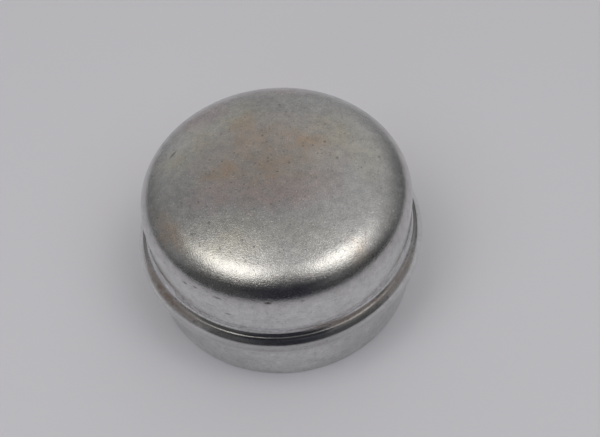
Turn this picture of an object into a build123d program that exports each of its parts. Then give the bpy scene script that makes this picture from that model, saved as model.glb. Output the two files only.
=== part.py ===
from build123d import *
from math import acos, cos, degrees, radians, sin
import os

# Hub grease cap: a cup deep drawn from one sheet of steel, with a ring bead rolled out of its wall.
# Millimetres and degrees. Origin at the centre of the open rim, +Z along the axis towards the closed end.

# The sheet, and the outside of the cup drawn from it
sheet_thickness = 1.0
cup_diameter = 50.0

# Skirt below the bead, which is driven into the hub, and its trimmed edge
skirt_length = 9.1
rim_outer_round = 0.35
rim_inner_round = 0.15

# Ring bead: both roots have one radius, and the crest has three: one below, which meets the hub, a wider one up its
# face and a tight fold at the top. The angles are the crest's slopes: the turnover angle where the lower radius meets
# the face, the fold angle where the face meets the fold, and the flank angle where the fold meets the upper root.
bead_root_radius = 1.2
bead_lower_inside_radius = 1.2
bead_face_inside_radius = 2.5
bead_fold_inside_radius = 0.4
bead_turnover_angle = 17.0
bead_fold_angle = 47.0
bead_flank_angle = 65.0

# Plain wall above the bead
wall_length = 6.8

# Closed end: the shoulder turns most of the way, a slower blend follows, and a shallow crown closes it
shoulder_radius = 5.0
shoulder_turn = 55.0
blend_radius = 11.0
crown_edge_slope = 14.0

# The crest's outside goes round the inside radii and the sheet. Its rise is how far it stands out of the wall,
# and the flank below leans so that it comes back to the skirt, which is as wide as the wall.
cup_radius = cup_diameter / 2
bead_lower_radius = bead_lower_inside_radius + sheet_thickness
bead_face_radius = bead_face_inside_radius + sheet_thickness
bead_fold_radius = bead_fold_inside_radius + sheet_thickness
flank_cosine = cos(radians(bead_flank_angle))
fold_cosine = cos(radians(bead_fold_angle))
turnover_cosine = cos(radians(bead_turnover_angle))
bead_rise = (
    bead_root_radius * (1 - flank_cosine)
    + bead_fold_radius * (fold_cosine - flank_cosine)
    + bead_face_radius * (turnover_cosine - fold_cosine)
    + bead_lower_radius * (1 - turnover_cosine)
)
bead_under_angle = degrees(acos(1 - bead_rise / (bead_root_radius + bead_lower_radius)))
blend_turn = 90 - crown_edge_slope - shoulder_turn


def sheet_section():
    """Half section of the sheet: the outside as one tangent chain from rim to apex, thickened inwards."""
    with BuildSketch(Plane.XZ) as section:
        with BuildLine():
            skirt = Line((cup_radius, 0), (cup_radius, skirt_length))
            lower_root = JernArc(skirt @ 1, skirt % 1, bead_root_radius, -bead_under_angle)
            lower_crest = JernArc(
                lower_root @ 1, lower_root % 1, bead_lower_radius, bead_under_angle + bead_turnover_angle
            )
            face = JernArc(
                lower_crest @ 1, lower_crest % 1, bead_face_radius, bead_fold_angle - bead_turnover_angle
            )
            fold = JernArc(face @ 1, face % 1, bead_fold_radius, bead_flank_angle - bead_fold_angle)
            upper_root = JernArc(fold @ 1, fold % 1, bead_root_radius, -bead_flank_angle)
            wall = PolarLine(upper_root @ 1, wall_length, angle=90)
            shoulder = JernArc(wall @ 1, wall % 1, shoulder_radius, shoulder_turn)
            blend = JernArc(shoulder @ 1, shoulder % 1, blend_radius, blend_turn)
            # The crown is part of a sphere about the axis, which it meets square
            crown_radius = (blend @ 1).X / sin(radians(crown_edge_slope))
            JernArc(blend @ 1, blend % 1, crown_radius, crown_edge_slope)
            offset(amount=sheet_thickness, side=Side.LEFT)
        make_face()
        # The rim is sheared off square: its outer edge is drawn over, its inner edge only broken
        rim = section.vertices().group_by(Axis.Y)[0]
        fillet(rim.sort_by(Axis.X)[-1], radius=rim_outer_round)
        rim = section.vertices().group_by(Axis.Y)[0]
        fillet(rim.sort_by(Axis.X)[0], radius=rim_inner_round)
    return section.sketch


grease_cap = revolve(sheet_section(), axis=Axis.Z)
grease_cap.label = "grease_cap"

os.makedirs("parts", exist_ok=True)
export_step(grease_cap, "parts/grease_cap.step")
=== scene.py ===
"""Dressed model of a hub grease cap: one cup deep drawn from sheet steel, zinc plated, on its open rim.

The cup is turned as a fine mesh from the sheet's real section, so the render and the solids have one shape.
Sizes are in millimetres and degrees unless a name says otherwise, and MM turns millimetres into metres.
"""

import logging
import math
from dataclasses import dataclass
from enum import Enum
from typing import Any

import bpy
import numpy as np
from mathutils import Matrix, Vector


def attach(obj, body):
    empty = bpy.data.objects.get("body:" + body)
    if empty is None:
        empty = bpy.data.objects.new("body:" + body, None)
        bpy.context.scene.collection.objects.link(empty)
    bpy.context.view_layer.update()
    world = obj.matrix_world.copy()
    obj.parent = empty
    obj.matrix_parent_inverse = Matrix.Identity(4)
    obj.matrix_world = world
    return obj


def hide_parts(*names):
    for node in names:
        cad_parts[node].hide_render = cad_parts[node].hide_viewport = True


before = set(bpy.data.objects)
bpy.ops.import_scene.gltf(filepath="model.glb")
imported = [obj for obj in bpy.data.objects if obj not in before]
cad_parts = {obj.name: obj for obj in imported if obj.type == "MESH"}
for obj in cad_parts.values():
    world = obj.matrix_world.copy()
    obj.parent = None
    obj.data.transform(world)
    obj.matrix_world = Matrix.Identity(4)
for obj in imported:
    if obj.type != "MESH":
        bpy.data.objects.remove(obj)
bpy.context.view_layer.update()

log = logging.getLogger("grease_cap")

MM = 0.001
MM_PER_METRE = 1000.0
PHOTO_WIDTH_PX = 600.0
QUARTER_TURN = 90.0
# The Mix node has a set of sockets for each kind of value, with the same names, so they go by number
NUMBER_A, NUMBER_B, NUMBER_OUT = 2, 3, 0
COLOUR_A, COLOUR_B, COLOUR_OUT = 6, 7, 2

Tree = bpy.types.NodeTree
Socket = bpy.types.NodeSocket


class Side(Enum):
    """Which side of the sheet a point of the mesh lies on, as the value of the attribute that says so."""

    OUTSIDE = 0.0
    INSIDE = 1.0


def linear(colour: str) -> tuple[float, float, float, float]:
    """Turns an sRGB hex colour into linear values, by the standard's own curve.

    Args:
        colour: The colour as "#rrggbb".

    Returns:
        Linear red, green and blue, and an alpha of 1.
    """
    channels = [int(colour[place:place + 2], 16) / 255 for place in (1, 3, 5)]
    red, green, blue = (c / 12.92 if c <= 0.04045 else ((c + 0.055) / 1.055) ** 2.4 for c in channels)
    return red, green, blue, 1.0


def add_node(tree: Tree, kind: str, inputs: dict[str | int, Any] | None = None,
             **settings: Any) -> bpy.types.Node:
    """Adds a node with its settings, and fills or links its inputs.

    Args:
        tree: The node tree that gets the node.
        kind: Blender's name for the node's type.
        inputs: A value, or the output socket to link, for each input by name or number.
        settings: The node's own options by name.

    Returns:
        The new node.
    """
    node = tree.nodes.new(kind)
    for name, value in settings.items():
        setattr(node, name, value)
    for key, value in (inputs or {}).items():
        if isinstance(value, Socket):
            tree.links.new(value, node.inputs[key])
        else:
            node.inputs[key].default_value = value
    return node


@dataclass(frozen=True)
class Station:
    """One place on the sheet's outside: its radius and height, and the way the section is heading there."""

    radius: float
    height: float
    heading: float

    def below(self, depth: float) -> tuple[float, float]:
        """Radius and height at a depth inside the sheet, square to its surface."""
        turn = math.radians(self.heading)
        return self.radius - depth * math.sin(turn), self.height + depth * math.cos(turn)


class SectionTrace:
    """Draws a section as a tangent chain of straight runs and arcs, one station after another."""

    def __init__(self, radius: float, height: float, heading: float) -> None:
        """Puts the first station down."""
        self.stations = [Station(radius, height, heading)]

    def straight(self, length: float, steps: int) -> None:
        """Goes straight on.

        Args:
            length: The run's length.
            steps: How many stations it gets.
        """
        start = self.stations[-1]
        turn = math.radians(start.heading)
        for step in range(1, steps + 1):
            along = length * step / steps
            radius = start.radius + along * math.cos(turn)
            height = start.height + along * math.sin(turn)
            self.stations.append(Station(radius, height, start.heading))

    def arc(self, bend: float, turn: float, steps: int) -> None:
        """Goes round a bend.

        Args:
            bend: The bend's radius.
            turn: How far the heading turns, positive to the left.
            steps: How many stations it gets.
        """
        start = self.stations[-1]
        reach = math.copysign(bend, turn)
        first = math.radians(start.heading)
        for step in range(1, steps + 1):
            heading = start.heading + turn * step / steps
            here = math.radians(heading)
            radius = start.radius + reach * (math.sin(here) - math.sin(first))
            height = start.height + reach * (math.cos(first) - math.cos(here))
            self.stations.append(Station(radius, height, heading))


@dataclass(frozen=True)
class Spot:
    """A patch on the cap: its middle, its half lengths, its turn about the axis and its strength."""

    middle: tuple[float, float, float]
    half_lengths: tuple[float, float, float]
    turn: float = 0.0
    strength: float = 1.0


@dataclass(frozen=True)
class Stain:
    """The colour of a stain or a film on the plate, and the spots where it lies."""

    colour: str
    spots: tuple[Spot, ...]


@dataclass(frozen=True)
class PlatePattern:
    """What the plate's finish is worked out from at each place of the cap."""

    place: Socket
    inside: Socket
    satin: Socket
    crystals: Socket
    grain: Socket
    mottle: Socket
    blotches: bpy.types.Node
    cloud: Socket
    rubs: Socket


# Zinc plate on drawn steel: a soft grey metal whose fine crystals make the closed end satin and sparkling.
# The die ironed the wall smoother and brighter, so the wall mirrors the bench. The clear passivate dries with
# faint olive, mauve and tan stains, and handling leaves small dark specks and level rubs. Grime dulls the
# plate along the bead. A pale dull film at the wall's foot is painted light, and darker bands along the
# bead's crest and root are painted shade.
@dataclass(frozen=True)
class ZincPlate:
    """Electroplated zinc with a clear passivate, as deep-drawn steel pressings have it."""

    name: str = "zinc_plate_on_drawn_steel"
    ironed_plate: str = "#d2d2d1"
    satin_plate: str = "#c8c7c6"
    inside_plate: str = "#aeaca8"
    mark: str = "#5f5b58"
    # Painted shade: a darker grey laid in bands along the bead's crest and root
    bead_shade: str = "#a5a4a4"
    satin_roughness: float = 0.2
    ironed_roughness: float = 0.14
    inside_roughness: float = 0.42
    film_roughness: float = 0.6
    satin_swing: float = 0.078
    ironed_swing: float = 0.03
    # Zinc's own crystals are under 0.05 mm, too fine to show, so they are drawn about a pixel wide
    crystal_width: float = 0.12
    grain_width: float = 0.26
    crystal_depth: float = 0.012
    grain_depth: float = 0.027
    ironed_relief: float = 0.25
    grain_swing: float = 0.32
    mottle_width: float = 1.4
    mottle_swing: float = 0.26
    blotch_width: float = 2.8
    cloud_width: float = 7.0
    cloud_swing: float = 0.16
    rub_length: float = 4.0
    rub_height: float = 0.4
    rub_swing: float = 0.12
    noise_detail: float = 2.0
    noise_roughness: float = 0.6
    # Noise seldom leaves this range, so the roughness swings over it
    noise_low: float = 0.25
    noise_high: float = 0.75
    # Specks lie in a scatter of cells, some of which have none, and are darkest where the last stain dried
    speck_spacing: float = 0.75
    speck_width: float = 0.25
    speck_core: float = 0.3
    speck_stretch: float = 1.6
    speckless_share: float = 0.5
    speck_darkness: float = 0.45
    stained_speck_darkness: float = 0.85
    satin_from: float = 21.5
    satin_full: float = 24.5
    # A spot fades from its core to its edge, both given in half lengths
    spot_core: float = 0.1
    spot_edge: float = 1.4
    # Noise breaks a spot up: it keeps its least share where the noise is low, and all where it is high
    speckle_least: float = 0.4
    speckle_low: float = 0.3
    speckle_high: float = 0.65
    stain_wander: float = 2.2
    stains: tuple[Stain, ...] = (
        Stain("#cbc8bb", (
            Spot((-17.5, 4.8, 28.5), (3.6, 3.4, 3.0), 0.0, 1.0),
            Spot((-6.0, 14.0, 29.2), (5.6, 5.0, 3.0), 0.0, 1.0),
            Spot((-13.0, 10.0, 29.0), (5.0, 5.0, 3.0), 0.0, 0.8),
            Spot((12.0, 8.0, 29.4), (6.0, 6.4, 3.0), 0.0, 1.0),
            Spot((17.0, 2.0, 28.7), (3.6, 7.0, 3.0), 0.0, 0.8),
            Spot((-8.0, -13.5, 28.9), (9.0, 5.0, 3.0), 0.0, 0.7),
            Spot((4.0, -14.0, 29.0), (7.5, 4.0, 3.0), 0.0, 0.4),
        )),
        Stain("#cbbdbd", (
            Spot((2.0, -5.5, 30.2), (10.0, 4.2, 3.0), 0.0, 1.0),
            Spot((-8.0, -4.5, 30.0), (8.5, 3.8, 3.0), 0.0, 0.9),
            Spot((-12.0, 16.0, 28.3), (6.0, 3.2, 3.0), 35.0, 0.8),
            Spot((3.0, 21.0, 27.8), (6.0, 2.4, 3.0), 0.0, 0.6),
            Spot((-20.5, -14.5, 8.6), (4.0, 5.0, 3.4), 0.0, 0.5),
        )),
        Stain("#c6b19d", (
            Spot((-0.5, 3.5, 30.2), (15.0, 11.0, 4.0), 6.0, 0.75),
            Spot((-8.5, 0.8, 30.0), (5.6, 3.0, 3.0), 8.0, 1.0),
            Spot((-4.5, 9.0, 30.0), (3.4, 7.0, 3.0), 0.0, 0.9),
            Spot((-0.5, -1.0, 30.4), (5.4, 3.6, 3.0), 0.0, 0.9),
            Spot((6.5, 5.0, 30.0), (5.6, 3.2, 3.0), 12.0, 1.0),
            Spot((-18.8, -9.5, 27.2), (2.0, 5.4, 3.0), 28.0, 0.75),
            Spot((13.4, -17.6, 27.4), (2.6, 1.8, 3.0), 40.0, 0.5),
        )),
    )
    # Dashes on the wall, specks on the closed end and a short scratch at its left
    marks: tuple[Spot, ...] = (
        Spot((-2.7, -24.4, 24.5), (0.75, 0.6, 0.25), -6.0, 1.0),
        Spot((-9.9, -22.9, 19.8), (0.7, 0.6, 0.22), -23.0, 0.9),
        Spot((-11.3, -22.1, 23.9), (0.9, 0.6, 0.22), -27.0, 0.8),
        Spot((-15.0, -19.6, 24.1), (0.5, 0.6, 0.22), -37.0, 0.8),
        Spot((-16.8, -18.3, 23.7), (0.6, 0.6, 0.22), -43.0, 0.85),
        Spot((-16.6, -18.6, 18.6), (0.7, 0.6, 0.18), -42.0, 0.55),
        Spot((-12.9, -21.4, 20.8), (1.2, 0.6, 0.16), -31.0, 0.5),
        Spot((3.2, -24.5, 24.3), (0.5, 0.6, 0.18), 8.0, 0.5),
        Spot((8.7, -23.4, 22.0), (0.5, 0.6, 0.18), 20.0, 0.5),
        Spot((-1.4, -24.9, 19.0), (0.5, 0.6, 0.18), -3.0, 0.5),
        Spot((2.0, 16.3, 28.9), (0.28, 0.28, 0.6), 0.0, 0.65),
        Spot((10.1, 10.1, 29.4), (0.28, 0.28, 0.6), 0.0, 0.5),
        Spot((9.7, 5.4, 29.9), (0.28, 0.32, 0.6), 0.0, 0.7),
        Spot((11.6, 1.4, 29.8), (0.32, 0.36, 0.6), 0.0, 0.55),
        Spot((5.7, 4.5, 30.3), (0.24, 0.24, 0.6), 0.0, 0.55),
        Spot((3.2, 14.0, 29.4), (0.24, 0.32, 0.6), 0.0, 0.45),
        Spot((-2.4, 0.7, 30.6), (0.24, 0.28, 0.6), 0.0, 0.3),
        Spot((19.2, 2.0, 28.3), (0.32, 0.32, 0.8), 0.0, 0.55),
        Spot((10.4, -1.6, 30.0), (0.24, 0.28, 0.6), 0.0, 0.3),
        Spot((9.9, -7.2, 29.7), (0.24, 0.28, 0.6), 0.0, 0.3),
        Spot((-18.2, 7.0, 28.2), (1.1, 0.24, 0.8), 50.0, 0.7),
        Spot((-11.8, -10.0, 29.1), (0.32, 0.32, 0.6), 0.0, 0.6),
        Spot((-8.7, -8.2, 29.7), (0.24, 0.32, 0.6), 0.0, 0.35),
        Spot((-14.9, -11.5, 28.4), (0.32, 0.32, 0.6), 0.0, 0.5),
        Spot((-10.1, -15.1, 28.6), (0.24, 0.28, 0.6), 0.0, 0.6),
        Spot((-5.9, -18.1, 28.4), (0.24, 0.24, 0.6), 0.0, 0.6),
        Spot((-4.3, -15.8, 29.0), (0.24, 0.24, 0.6), 0.0, 0.6),
        Spot((-6.2, -14.2, 29.1), (0.24, 0.24, 0.6), 0.0, 0.5),
    )
    # Three dull films that aren't metal: a pale one at the wall's foot, which is painted light, grey-brown
    # grime and a browner streak
    films: tuple[Stain, ...] = (
        # Painted light: a pale ring round the wall's foot, wider at the sides, lightens the dark line the
        # plate mirrors there
        Stain("#e6e5ea", (
            Spot((0.0, 0.0, 16.1), (60.0, 60.0, 0.6), 0.0, 0.9),
            Spot((-22.0, -12.0, 16.2), (10.0, 12.0, 1.9), 0.0, 0.9),
            Spot((22.0, -12.0, 16.2), (10.0, 12.0, 1.9), 0.0, 0.9),
        )),
        Stain("#7c6f66", (
            Spot((-21.6, -15.0, 14.35), (10.5, 6.0, 0.8), -55.0, 1.2),
            Spot((21.6, -15.0, 14.5), (8.5, 6.0, 0.8), 55.0, 0.8),
        )),
        Stain("#70543f", (
            Spot((3.0, -24.8, 15.95), (4.0, 5.0, 0.35), 7.0, 0.5),
            Spot((7.0, -24.1, 15.35), (4.5, 5.0, 0.4), 16.0, 0.8),
            Spot((11.9, -22.4, 14.9), (6.0, 5.0, 0.35), 28.0, 0.9),
            Spot((16.5, -19.7, 14.7), (5.0, 5.0, 0.35), 40.0, 0.4),
        )),
    )
    # Painted shade: darker bands along the bead's crest and in the root above it
    bead_shade_bands: tuple[Spot, ...] = (
        Spot((0.0, -22.0, 12.6), (28.0, 15.0, 0.9), 0.0, 1.0),
        Spot((0.0, 0.0, 14.67), (60.0, 60.0, 0.25), 0.0, 1.2),
        Spot((0.0, -25.0, 15.4), (11.0, 6.0, 0.26), 0.0, 1.0),
    )

    def material(self) -> bpy.types.Material:
        """Makes the finish.

        Returns:
            The material, with its pattern worked out from places on the cap in millimetres.
        """
        made = bpy.data.materials.new(self.name)
        made.use_nodes = True
        tree = made.node_tree
        tree.nodes.clear()
        pattern = self._pattern(tree)

        layers = []
        covered = 0.0
        for film in self.films:
            here = self._speckled(tree, self._spotted(tree, pattern.place, film.spots), pattern.mottle)
            layers.append((film.colour, here))
            covered = add_node(tree, "ShaderNodeMath", {0: here, 1: covered}, operation="MAXIMUM",
                               use_clamp=True).outputs[0]
        bare = add_node(tree, "ShaderNodeMath", {0: 1.0, 1: covered}, operation="SUBTRACT").outputs[0]
        shader = add_node(tree, "ShaderNodeBsdfPrincipled",
                          {"Base Color": self._colour(tree, pattern, layers), "Metallic": bare,
                           "Roughness": self._roughness(tree, pattern, covered),
                           "Normal": self._relief(tree, pattern)})
        add_node(tree, "ShaderNodeOutputMaterial", {"Surface": shader.outputs["BSDF"]})
        return made

    def _pattern(self, tree: Tree) -> PlatePattern:
        """Works out places in millimetres, the cap's regions and the noises.

        Args:
            tree: The finish's nodes.

        Returns:
            What the rest of the finish is worked out from.
        """
        place_in_metres = add_node(tree, "ShaderNodeTexCoord").outputs["Object"]
        place = add_node(tree, "ShaderNodeVectorMath", {0: place_in_metres, "Scale": MM_PER_METRE},
                         operation="SCALE").outputs["Vector"]
        height = add_node(tree, "ShaderNodeSeparateXYZ", {0: place}).outputs["Z"]
        inside = add_node(tree, "ShaderNodeAttribute", attribute_name="inside").outputs["Fac"]
        satin = add_node(tree, "ShaderNodeMapRange",
                         {"Value": height, "From Min": self.satin_from, "From Max": self.satin_full},
                         interpolation_type="SMOOTHSTEP").outputs["Result"]
        # Heights are stretched for the rubs, which lie level on the wall
        level = add_node(tree, "ShaderNodeVectorMath",
                         {0: place, 1: (1.0, 1.0, self.rub_length / self.rub_height)},
                         operation="MULTIPLY").outputs["Vector"]
        crystals, grain, mottle, blotches, cloud, rubs = (
            add_node(tree, "ShaderNodeTexNoise",
                     {"Vector": where, "Scale": 1 / width, "Detail": self.noise_detail,
                      "Roughness": self.noise_roughness})
            for where, width in ((place, self.crystal_width), (place, self.grain_width),
                                 (place, self.mottle_width), (place, self.blotch_width),
                                 (place, self.cloud_width), (level, self.rub_length)))
        return PlatePattern(place, inside, satin, crystals.outputs["Fac"], grain.outputs["Fac"],
                            mottle.outputs["Fac"], blotches, cloud.outputs["Fac"], rubs.outputs["Fac"])

    def _colour(self, tree: Tree, pattern: PlatePattern, films: list[tuple[str, Socket]]) -> Socket:
        """Lays stains, painted shade along the bead and films, one of them painted light, over the plate's
        two tones, then makes it uneven and marks it.

        Args:
            tree: The finish's nodes.
            pattern: What it is worked out from.
            films: Each film's colour, and how far it covers the plate.

        Returns:
            The colour.
        """
        layers = [(self.satin_plate, pattern.satin)]
        pushed = add_node(tree, "ShaderNodeVectorMath",
                          {0: pattern.blotches.outputs["Color"], 1: (2 * self.stain_wander,) * 3,
                           2: (-self.stain_wander,) * 3},
                          operation="MULTIPLY_ADD").outputs["Vector"]
        uneven = add_node(tree, "ShaderNodeVectorMath", {0: pattern.place, 1: pushed}).outputs["Vector"]
        for stain in self.stains:
            spots = self._spotted(tree, uneven, stain.spots)
            layers.append((stain.colour, self._speckled(tree, spots, pattern.blotches.outputs["Fac"])))
        last_stain = layers[-1][1]
        # Painted shade in bands along the bead's crest and root
        bead_shaded = self._speckled(tree, self._spotted(tree, pattern.place, self.bead_shade_bands), pattern.mottle)
        layers += [(self.bead_shade, bead_shaded), *films, (self.inside_plate, pattern.inside)]
        colour = linear(self.ironed_plate)
        for tone, here in layers:
            colour = add_node(tree, "ShaderNodeMix",
                              {"Factor": here, COLOUR_A: colour, COLOUR_B: linear(tone)},
                              data_type="RGBA").outputs[COLOUR_OUT]
        colour = add_node(tree, "ShaderNodeVectorMath", {0: colour, "Scale": self._lightness(tree, pattern)},
                          operation="SCALE").outputs["Vector"]
        marked = add_node(tree, "ShaderNodeMath",
                          {0: self._specks(tree, pattern.place, last_stain),
                           1: self._spotted(tree, pattern.place, self.marks)},
                          operation="MAXIMUM").outputs[0]
        return add_node(tree, "ShaderNodeMix",
                        {"Factor": marked, COLOUR_A: colour, COLOUR_B: linear(self.mark)},
                        data_type="RGBA").outputs[COLOUR_OUT]

    def _lightness(self, tree: Tree, pattern: PlatePattern) -> Socket:
        """Works out how much lighter or darker than its mean the plate is, with level rubs on the wall.

        Args:
            tree: The finish's nodes.
            pattern: What it is worked out from.

        Returns:
            A factor about 1.
        """
        wall = add_node(tree, "ShaderNodeMath", {0: 1.0, 1: pattern.satin}, operation="SUBTRACT").outputs[0]
        rubbed = add_node(tree, "ShaderNodeMapRange",
                          {"Value": pattern.rubs, "To Min": -self.rub_swing, "To Max": self.rub_swing}
                          ).outputs["Result"]
        light = add_node(tree, "ShaderNodeMath", {0: wall, 1: rubbed, 2: 1.0},
                         operation="MULTIPLY_ADD").outputs[0]
        for noise, swing in ((pattern.grain, self.grain_swing), (pattern.mottle, self.mottle_swing),
                             (pattern.cloud, self.cloud_swing)):
            part = add_node(tree, "ShaderNodeMapRange",
                            {"Value": noise, "To Min": -swing, "To Max": swing}).outputs["Result"]
            light = add_node(tree, "ShaderNodeMath", {0: light, 1: part}).outputs[0]
        return light

    def _spotted(self, tree: Tree, place: Socket, spots: tuple[Spot, ...]) -> Socket:
        """Marks where spots lie, each fading from its middle.

        Args:
            tree: The finish's nodes.
            place: Places in millimetres.
            spots: The spots.

        Returns:
            The strength of the strongest spot at each place.
        """
        strongest = 0.0
        for spot in spots:
            about_spot = add_node(tree, "ShaderNodeMapping",
                                  {"Vector": place, "Location": spot.middle, "Scale": spot.half_lengths,
                                   "Rotation": (0.0, 0.0, math.radians(spot.turn))}, vector_type="TEXTURE")
            away = add_node(tree, "ShaderNodeVectorMath", {0: about_spot.outputs["Vector"]},
                            operation="LENGTH").outputs["Value"]
            here = add_node(tree, "ShaderNodeMapRange",
                            {"Value": away, "From Min": self.spot_edge, "From Max": self.spot_core,
                             "To Max": spot.strength}, interpolation_type="SMOOTHSTEP").outputs["Result"]
            strongest = add_node(tree, "ShaderNodeMath", {0: strongest, 1: here},
                                 operation="MAXIMUM").outputs[0]
        return strongest

    def _speckled(self, tree: Tree, spots: Socket, noise: Socket) -> Socket:
        """Breaks spots up with a noise.

        Args:
            tree: The finish's nodes.
            spots: Where the spots are.
            noise: The noise.

        Returns:
            The speckled spots.
        """
        share = add_node(tree, "ShaderNodeMapRange",
                         {"Value": noise, "From Min": self.speckle_low, "From Max": self.speckle_high,
                          "To Min": self.speckle_least, "To Max": 1.0}).outputs["Result"]
        return add_node(tree, "ShaderNodeMath", {0: spots, 1: share}, operation="MULTIPLY").outputs[0]

    def _specks(self, tree: Tree, place: Socket, stained: Socket) -> Socket:
        """Scatters small faint specks, in some cells and not in others, darker where a stain dried.

        Args:
            tree: The finish's nodes.
            place: Places in millimetres.
            stained: Where the stain is.

        Returns:
            Where the specks are, and how dark each is.
        """
        # Heights are stretched, so that the specks on the wall lie flat
        flattened = add_node(tree, "ShaderNodeVectorMath", {0: place, 1: (1.0, 1.0, self.speck_stretch)},
                             operation="MULTIPLY").outputs["Vector"]
        cells = add_node(tree, "ShaderNodeTexVoronoi",
                         {"Vector": flattened, "Scale": 1 / self.speck_spacing, "Randomness": 1.0})
        chance = add_node(tree, "ShaderNodeSeparateColor", {0: cells.outputs["Color"]}).outputs["Red"]
        darkest = add_node(tree, "ShaderNodeMapRange",
                           {"Value": stained, "To Min": self.speck_darkness,
                            "To Max": self.stained_speck_darkness}).outputs["Result"]
        darkness = add_node(tree, "ShaderNodeMapRange",
                            {"Value": chance, "From Min": self.speckless_share, "From Max": 1.0,
                             "To Max": darkest}).outputs["Result"]
        reach = self.speck_width / self.speck_spacing
        near = add_node(tree, "ShaderNodeMapRange",
                        {"Value": cells.outputs["Distance"], "From Min": reach,
                         "From Max": self.speck_core * reach}).outputs["Result"]
        return add_node(tree, "ShaderNodeMath", {0: near, 1: darkness}, operation="MULTIPLY").outputs[0]

    def _roughness(self, tree: Tree, pattern: PlatePattern, covered: Socket) -> Socket:
        """Makes the closed end satin, the wall smoother with level rubs, and the films and the inside dull.

        Args:
            tree: The finish's nodes.
            pattern: What it is worked out from.
            covered: Where the dull films cover the plate: grime, the browner streak and the pale
                painted-light film.

        Returns:
            The roughness.
        """
        ironed, crystalled = (
            add_node(tree, "ShaderNodeMapRange",
                     {"Value": noise, "From Min": self.noise_low, "From Max": self.noise_high,
                      "To Min": middle - swing, "To Max": middle + swing}).outputs["Result"]
            for noise, middle, swing in ((pattern.rubs, self.ironed_roughness, self.ironed_swing),
                                         (pattern.grain, self.satin_roughness, self.satin_swing)))
        roughness = ironed
        for here, level in ((pattern.satin, crystalled), (covered, self.film_roughness),
                            (pattern.inside, self.inside_roughness)):
            roughness = add_node(tree, "ShaderNodeMix",
                                 {"Factor": here, NUMBER_A: roughness, NUMBER_B: level}).outputs[NUMBER_OUT]
        return roughness

    def _relief(self, tree: Tree, pattern: PlatePattern) -> Socket:
        """Raises the plate's crystals and grain, less so on the ironed wall.

        Args:
            tree: The finish's nodes.
            pattern: What it is worked out from.

        Returns:
            The bumped normal.
        """
        grained = add_node(tree, "ShaderNodeMath", {0: pattern.grain, 1: self.grain_depth},
                           operation="MULTIPLY").outputs[0]
        relief = add_node(tree, "ShaderNodeMath", {0: pattern.crystals, 1: self.crystal_depth, 2: grained},
                          operation="MULTIPLY_ADD").outputs[0]
        depth = add_node(tree, "ShaderNodeMapRange",
                         {"Value": pattern.satin, "To Min": self.ironed_relief, "To Max": 1.0}
                         ).outputs["Result"]
        return add_node(tree, "ShaderNodeBump",
                        {"Height": relief, "Strength": depth, "Distance": MM}).outputs["Normal"]


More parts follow.
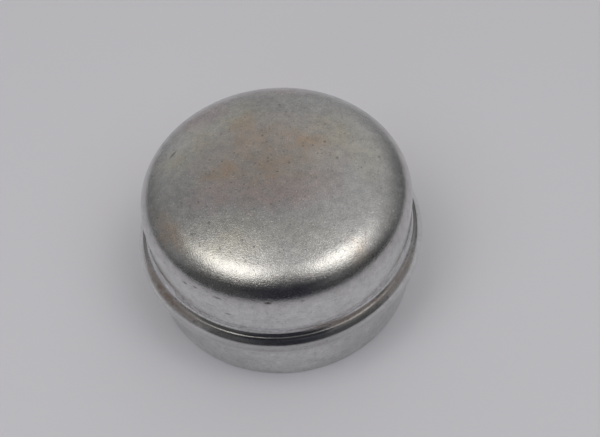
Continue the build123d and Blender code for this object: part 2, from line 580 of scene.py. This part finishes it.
@dataclass
class DrawnCup:
    """The cap: a cup drawn from one sheet, with a ring bead rolled out of its wall and a trimmed open rim."""

    name: str = "drawn_cup"
    node: str = "grease_cap"
    slot: str = "zinc_plate"
    sheet: float = 1.0
    cup_radius: float = 25.0
    skirt_length: float = 9.1
    rim_outer_round: float = 0.35
    rim_inner_round: float = 0.15
    bead_root_radius: float = 1.2
    bead_lower_inside_radius: float = 1.2
    bead_face_inside_radius: float = 2.5
    bead_fold_inside_radius: float = 0.4
    bead_turnover: float = 17.0
    bead_fold: float = 47.0
    bead_flank: float = 65.0
    wall_length: float = 6.8
    shoulder_radius: float = 5.0
    shoulder_turn: float = 55.0
    blend_radius: float = 11.0
    crown_edge_slope: float = 14.0
    # How finely the cup is turned, and how many stations each run and bend of its section gets
    segments: int = 240
    rim_inner_steps: int = 3
    rim_flat_steps: int = 1
    rim_outer_steps: int = 5
    skirt_steps: int = 12
    lower_root_steps: int = 10
    lower_crest_steps: int = 18
    face_steps: int = 8
    fold_steps: int = 6
    upper_root_steps: int = 12
    wall_steps: int = 10
    shoulder_steps: int = 14
    blend_steps: int = 8
    crown_steps: int = 22
    # A press leaves the sheet out of true by about a hundredth of a millimetre, so its reflections waver
    waver: float = 0.012
    waver_rounds: tuple[int, ...] = (3, 5, 8, 13)
    waver_lean: float = 0.11

    def outside(self) -> list[Station]:
        """Traces the rim and the sheet's outside.

        Returns:
            Stations from the rim's inner edge, round the rim, up the outside and to the apex.
        """
        rim_flat = self.sheet - self.rim_inner_round - self.rim_outer_round
        lower = self.bead_lower_inside_radius + self.sheet
        face = self.bead_face_inside_radius + self.sheet
        fold = self.bead_fold_inside_radius + self.sheet
        under = self.bead_under(lower, face, fold)
        trace = SectionTrace(self.cup_radius - self.sheet, self.rim_inner_round, -QUARTER_TURN)
        trace.arc(self.rim_inner_round, QUARTER_TURN, self.rim_inner_steps)
        trace.straight(rim_flat, self.rim_flat_steps)
        trace.arc(self.rim_outer_round, QUARTER_TURN, self.rim_outer_steps)
        trace.straight(self.skirt_length - self.rim_outer_round, self.skirt_steps)
        trace.arc(self.bead_root_radius, -under, self.lower_root_steps)
        trace.arc(lower, under + self.bead_turnover, self.lower_crest_steps)
        trace.arc(face, self.bead_fold - self.bead_turnover, self.face_steps)
        trace.arc(fold, self.bead_flank - self.bead_fold, self.fold_steps)
        trace.arc(self.bead_root_radius, -self.bead_flank, self.upper_root_steps)
        trace.straight(self.wall_length, self.wall_steps)
        trace.arc(self.shoulder_radius, self.shoulder_turn, self.shoulder_steps)
        blend_turn = QUARTER_TURN - self.crown_edge_slope - self.shoulder_turn
        trace.arc(self.blend_radius, blend_turn, self.blend_steps)
        crown_radius = trace.stations[-1].radius / math.sin(math.radians(self.crown_edge_slope))
        trace.arc(crown_radius, self.crown_edge_slope, self.crown_steps)
        return trace.stations

    def bead_under(self, lower: float, face: float, fold: float) -> float:
        """Finds how far the bead's underside leans, so that the skirt is as wide as the wall.

        Args:
            lower: The crest's outside radius below the turnover.
            face: The crest's outside radius up its face.
            fold: The crest's outside radius at its top.

        Returns:
            The lean in degrees.
        """
        at_flank, at_fold, at_turnover = (
            math.cos(math.radians(slope)) for slope in (self.bead_flank, self.bead_fold, self.bead_turnover))
        rise = self.bead_root_radius * (1 - at_flank) + fold * (at_fold - at_flank)
        rise += face * (at_turnover - at_fold) + lower * (1 - at_turnover)
        return math.degrees(math.acos(1 - rise / (self.bead_root_radius + lower)))

    def section(self) -> tuple[np.ndarray, np.ndarray]:
        """Goes once round the sheet, from the apex's inside to its outside.

        Returns:
            Radius and height of each row of the mesh, and the side that it is on.
        """
        outside = self.outside()
        rim_stations = self.rim_inner_steps + self.rim_flat_steps + self.rim_outer_steps
        inside = [station.below(self.sheet) for station in reversed(outside[rim_stations:])]
        rows = inside + [(station.radius, station.height) for station in outside]
        sides = [Side.INSIDE.value] * len(inside) + [Side.OUTSIDE.value] * len(outside)
        return np.array(rows), np.array(sides)

    def wavered(self, radius: np.ndarray, height: np.ndarray, azimuth: np.ndarray) -> np.ndarray:
        """Puts the cup slightly out of round, least near the axis. Heights stay, so that it stands flat.

        Args:
            radius: Radius of each point.
            height: Height of each point.
            azimuth: Angle of each point about the axis, in radians.

        Returns:
            The radius to use.
        """
        total = np.zeros_like(radius)
        for number, rounds in enumerate(self.waver_rounds):
            lean = self.waver_lean * (number + 1)
            total += np.sin(rounds * azimuth + lean * height + number) / len(self.waver_rounds)
        return radius + self.waver * total * radius / self.cup_radius

    def build(self) -> bpy.types.Object:
        """Turns the section about the axis.

        Returns:
            The cup, closed, with smooth faces and an attribute that tells its inside from its outside.
        """
        rows, sides = self.section()
        turning = rows[1:-1]
        azimuth = np.arange(self.segments) * 2 * np.pi / self.segments
        around = np.broadcast_to(azimuth, (len(turning), self.segments))
        height = np.repeat(turning[:, 1:], self.segments, axis=1)
        radius = self.wavered(np.repeat(turning[:, :1], self.segments, axis=1), height, around)
        rings = np.stack([radius * np.cos(around), radius * np.sin(around), height], axis=-1).reshape(-1, 3)
        inner_apex = (0.0, 0.0, rows[0, 1])
        outer_apex = (0.0, 0.0, rows[-1, 1])
        points = np.vstack([inner_apex, rings, outer_apex]) * MM

        mesh = bpy.data.meshes.new(self.name)
        mesh.from_pydata(points.tolist(), [], self._faces(len(turning)))
        mesh.shade_smooth()
        inside = np.concatenate([sides[:1], np.repeat(sides[1:-1], self.segments), sides[-1:]])
        mesh.attributes.new("inside", "FLOAT", "POINT").data.foreach_set("value", inside)
        mesh.validate()
        cup = bpy.data.objects.new(self.name, mesh)
        bpy.context.scene.collection.objects.link(cup)
        return cup

    def _faces(self, rows: int) -> list[tuple[int, ...]]:
        """Joins the rings and closes both apexes.

        Args:
            rows: How many rings there are.

        Returns:
            Faces as numbers of points, all turned out of the sheet.
        """
        faces = []
        outer_apex = 1 + rows * self.segments
        for here in range(self.segments):
            beside = (here + 1) % self.segments
            faces.append((0, 1 + beside, 1 + here))
            for row in range(rows - 1):
                low = 1 + row * self.segments
                high = low + self.segments
                faces.append((low + here, low + beside, high + beside, high + here))
            last = outer_apex - self.segments
            faces.append((last + here, last + beside, outer_apex))
        return faces

    def dress(self, cup: bpy.types.Object, finish: ZincPlate) -> None:
        """Plates the cup and puts it in the place of its solid.

        Args:
            cup: The cup.
            finish: Its finish.
        """
        cup.data.materials.append(finish.material())
        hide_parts(self.node)
        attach(cup, "root")


# Melamine-faced board: matt, pale and faintly lilac, so it takes a soft shadow and shows no gloss.
# The bench's front lies in shade, which only the cap's shoulder and bead mirror.
@dataclass(frozen=True)
class MelamineBoard:
    """The bench top's plain pale facing, shaded towards the bench's front."""

    name: str = "melamine_board"
    face: str = "#e5e4e9"
    shaded_face: str = "#a4a3a9"
    shade_from: float = -46.0
    shade_full: float = -230.0
    roughness: float = 0.65

    def material(self) -> bpy.types.Material:
        """Makes the facing.

        Returns:
            The material.
        """
        made = bpy.data.materials.new(self.name)
        made.use_nodes = True
        tree = made.node_tree
        tree.nodes.clear()
        place = add_node(tree, "ShaderNodeTexCoord").outputs["Object"]
        depth = add_node(tree, "ShaderNodeSeparateXYZ", {0: place}).outputs["Y"]
        shade = add_node(tree, "ShaderNodeMapRange",
                         {"Value": depth, "From Min": self.shade_from * MM, "From Max": self.shade_full * MM}
                         ).outputs["Result"]
        colour = add_node(tree, "ShaderNodeMix",
                          {"Factor": shade, COLOUR_A: linear(self.face), COLOUR_B: linear(self.shaded_face)},
                          data_type="RGBA").outputs[COLOUR_OUT]
        shader = add_node(tree, "ShaderNodeBsdfPrincipled",
                          {"Base Color": colour, "Roughness": self.roughness})
        add_node(tree, "ShaderNodeOutputMaterial", {"Surface": shader.outputs["BSDF"]})
        return made


@dataclass
class BenchTop:
    """The plain bench top that the cap stands on, which isn't part of it."""

    name: str = "bench_top"
    half_width: float = 2000.0
    clearance: float = 0.01

    def build(self, finish: MelamineBoard) -> bpy.types.Object:
        """Lays the bench top just under the rim.

        Args:
            finish: Its facing.

        Returns:
            The bench top.
        """
        reach = self.half_width * MM
        low = -self.clearance * MM
        corners = [(-reach, -reach, low), (reach, -reach, low), (reach, reach, low), (-reach, reach, low)]
        mesh = bpy.data.meshes.new(self.name)
        mesh.from_pydata(corners, [], [(0, 1, 2, 3)])
        mesh.materials.append(finish.material())
        bench = bpy.data.objects.new(self.name, mesh)
        bpy.context.scene.collection.objects.link(bench)
        return bench


def way_to(azimuth: float, elevation: float) -> Vector:
    """Turns an azimuth and an elevation, in degrees, into a direction.

    Args:
        azimuth: From +X towards +Y.
        elevation: Above the bench.

    Returns:
        A vector of length 1.
    """
    level = math.cos(math.radians(elevation))
    around = math.radians(azimuth)
    return Vector((level * math.cos(around), level * math.sin(around), math.sin(math.radians(elevation))))


@dataclass(frozen=True)
class SoftLamp:
    """An oval soft lamp: where it hangs and how large it looks from the cap, its power and its colour."""

    name: str
    azimuth: float
    elevation: float
    look_width: float
    look_height: float
    watts: float
    colour: str
    mirrored: bool = True
    distance: float = 900.0

    def build(self) -> bpy.types.Object:
        """Hangs the lamp and points it at the cap.

        Returns:
            The lamp.
        """
        data = bpy.data.lights.new(self.name, "AREA")
        data.shape = "ELLIPSE"
        data.size = 2 * self.distance * MM * math.tan(math.radians(self.look_width / 2))
        data.size_y = 2 * self.distance * MM * math.tan(math.radians(self.look_height / 2))
        data.energy = self.watts
        data.color = linear(self.colour)[:3]
        way = way_to(self.azimuth, self.elevation)
        lamp = bpy.data.objects.new(self.name, data)
        lamp.location = way * self.distance * MM
        lamp.rotation_mode = "QUATERNION"
        lamp.rotation_quaternion = way.to_track_quat("Z", "Y")
        lamp.visible_glossy = self.mirrored
        bpy.context.scene.collection.objects.link(lamp)
        return lamp


@dataclass(frozen=True)
class Glow:
    """A soft patch of light in the room: where the cap sees it, its spread, its level and its colour."""

    azimuth: float
    elevation: float
    spread: float
    level: float
    colour: str = "#ffffff"


@dataclass(frozen=True)
class Workshop:
    """The plain room round the bench, dim behind the camera and lit softly from the far side."""

    name: str = "workshop"
    glows: tuple[Glow, ...] = (
        # Light that spreads round the two lamps and beyond the right one
        Glow(-165.0, 69.0, 20.0, 1.1, "#fffcf5"),
        Glow(-165.0, 69.0, 32.0, 0.16, "#fffcf5"),
        Glow(-18.0, 66.0, 20.0, 0.8, "#fffcf5"),
        Glow(-2.0, 59.0, 24.0, 0.25, "#fffcf5"),
        Glow(52.0, 46.0, 28.0, 0.07),
        # Low round the room, from the far side by the left to the camera's side and on to the right
        Glow(90.0, 10.0, 50.0, 0.37),
        Glow(150.0, 10.0, 50.0, 0.06),
        Glow(-150.0, 10.0, 50.0, 0.075),
        Glow(-90.0, 10.0, 50.0, 0.03, "#e4e6ff"),
        Glow(-30.0, 10.0, 50.0, 0.075),
        # Half way up the walls
        Glow(30.0, 38.0, 50.0, 0.205),
        Glow(150.0, 38.0, 50.0, 0.19),
        Glow(-150.0, 38.0, 50.0, 0.015),
        Glow(-90.0, 38.0, 50.0, 0.01, "#d4d8ff"),
        # Where the walls meet the ceiling
        Glow(45.0, 66.0, 50.0, 0.185),
        Glow(135.0, 66.0, 50.0, 0.075),
        Glow(-45.0, 66.0, 50.0, 0.185),
    )

    def build(self) -> bpy.types.World:
        """Makes the room as the scene's world.

        Returns:
            The world.
        """
        world = bpy.data.worlds.new(self.name)
        world.use_nodes = True
        tree = world.node_tree
        tree.nodes.clear()
        way = add_node(tree, "ShaderNodeTexCoord").outputs["Generated"]
        total = (0.0, 0.0, 0.0)
        for glow in self.glows:
            towards = add_node(tree, "ShaderNodeVectorMath",
                               {0: way, 1: way_to(glow.azimuth, glow.elevation)},
                               operation="DOT_PRODUCT").outputs["Value"]
            level = add_node(tree, "ShaderNodeMapRange",
                             {"Value": towards, "From Min": math.cos(math.radians(glow.spread)),
                              "To Max": glow.level}, interpolation_type="SMOOTHSTEP").outputs["Result"]
            total = add_node(tree, "ShaderNodeVectorMath", {0: level, 1: linear(glow.colour)[:3], 2: total},
                             operation="MULTIPLY_ADD").outputs["Vector"]
        background = add_node(tree, "ShaderNodeBackground", {"Color": total})
        add_node(tree, "ShaderNodeOutputWorld", {"Surface": background.outputs[0]})
        bpy.context.scene.world = world
        return world


@dataclass(frozen=True)
class ViewCamera:
    """The camera, which looks down at the cap from in front and leans a little to one side."""

    name: str = "view_camera"
    elevation: float = 53.59
    roll: float = -5.18
    distance: float = 197.91
    aim_height: float = 12.0
    aim_right: float = 3.82
    aim_up: float = 1.83
    focal_length_px: float = 1029.09
    sensor_width: float = 36.0
    nearest: float = 10.0
    farthest: float = 10000.0

    def build(self) -> bpy.types.Object:
        """Sets the camera up and makes it the scene's own.

        Returns:
            The camera.
        """
        data = bpy.data.cameras.new(self.name)
        data.sensor_width = self.sensor_width
        data.lens = self.focal_length_px / PHOTO_WIDTH_PX * self.sensor_width
        data.clip_start = self.nearest * MM
        data.clip_end = self.farthest * MM
        elevation = math.radians(self.elevation)
        roll = math.radians(self.roll)
        forward = Vector((0.0, math.cos(elevation), -math.sin(elevation)))
        level = Vector((1.0, 0.0, 0.0))
        raised = level.cross(forward)
        right = level * math.cos(roll) + raised * math.sin(roll)
        top = raised * math.cos(roll) - level * math.sin(roll)
        aim = Vector((0.0, 0.0, self.aim_height)) + right * self.aim_right + top * self.aim_up
        spot = (aim - forward * self.distance) * MM
        camera = bpy.data.objects.new(self.name, data)
        turned = Matrix((right, top, -forward)).transposed().to_4x4()
        camera.matrix_world = Matrix.Translation(spot) @ turned
        bpy.context.scene.collection.objects.link(camera)
        bpy.context.scene.camera = camera
        return camera


# Blackout cloth: dark and matt, so the plate mirrors an even dark patch.
@dataclass(frozen=True)
class LensFlag:
    """A dark flag round the camera's lens, which only the plate's reflections show."""

    name: str = "lens_flag"
    cloth: str = "blackout_cloth"
    face: str = "#3a3a46"
    half_width: float = 85.0
    above_lens: float = 9.0
    below_lens: float = 90.0

    def build(self, camera: bpy.types.Object) -> bpy.types.Object:
        """Hangs the flag round the camera's lens.

        Args:
            camera: The camera.

        Returns:
            The flag, hidden from the camera and from the light on the bench.
        """
        made = bpy.data.materials.new(self.cloth)
        made.use_nodes = True
        made.node_tree.nodes["Principled BSDF"].inputs["Base Color"].default_value = linear(self.face)
        corners = [(-self.half_width, -self.below_lens), (self.half_width, -self.below_lens),
                   (self.half_width, self.above_lens), (-self.half_width, self.above_lens)]
        mesh = bpy.data.meshes.new(self.name)
        mesh.from_pydata([(across * MM, up * MM, 0.0) for across, up in corners], [], [(0, 1, 2, 3)])
        mesh.materials.append(made)
        flag = bpy.data.objects.new(self.name, mesh)
        flag.matrix_world = camera.matrix_world
        flag.visible_camera = False
        flag.visible_diffuse = False
        flag.visible_shadow = False
        bpy.context.scene.collection.objects.link(flag)
        return flag


def main() -> None:
    """Builds the cap and its plain stage, in order."""
    logging.basicConfig(level=logging.INFO, format="%(name)s: %(message)s")
    bpy.context.scene.view_settings.view_transform = "Standard"

    cup_maker = DrawnCup()
    cup = cup_maker.build()
    cup_maker.dress(cup, ZincPlate())
    log.info("%s: %d faces, in place of %s", cup.name, len(cup.data.polygons), cup_maker.node)

    bench = BenchTop().build(MelamineBoard())
    log.info("%s: stage", bench.name)
    warm = "#fffcf4"
    cool = "#f7f8ff"
    lamps = (
        SoftLamp("left_lamp", azimuth=-164.0, elevation=69.0, look_width=36.0, look_height=22.0,
                 watts=0.33, colour=warm),
        SoftLamp("right_lamp", azimuth=-18.0, elevation=66.5, look_width=20.0, look_height=15.0,
                 watts=0.25, colour=warm),
        # The fills light the bench, and the plate doesn't mirror them
        SoftLamp("left_fill", azimuth=-150.0, elevation=50.0, look_width=30.0, look_height=30.0,
                 watts=0.78, colour=cool, mirrored=False),
        SoftLamp("right_fill", azimuth=-42.0, elevation=50.0, look_width=34.0, look_height=34.0,
                 watts=0.72, colour=cool, mirrored=False),
        SoftLamp("front_fill", azimuth=-108.0, elevation=25.0, look_width=30.0, look_height=30.0,
                 watts=0.42, colour=cool, mirrored=False),
    )
    for lamp in lamps:
        log.info("%s: %.2f W", lamp.build().name, lamp.watts)
    log.info("%s: world", Workshop().build().name)
    camera = ViewCamera().build()
    log.info("%s: camera", camera.name)
    log.info("%s: stage", LensFlag().build(camera).name)


if __name__ == "__main__":
    main()
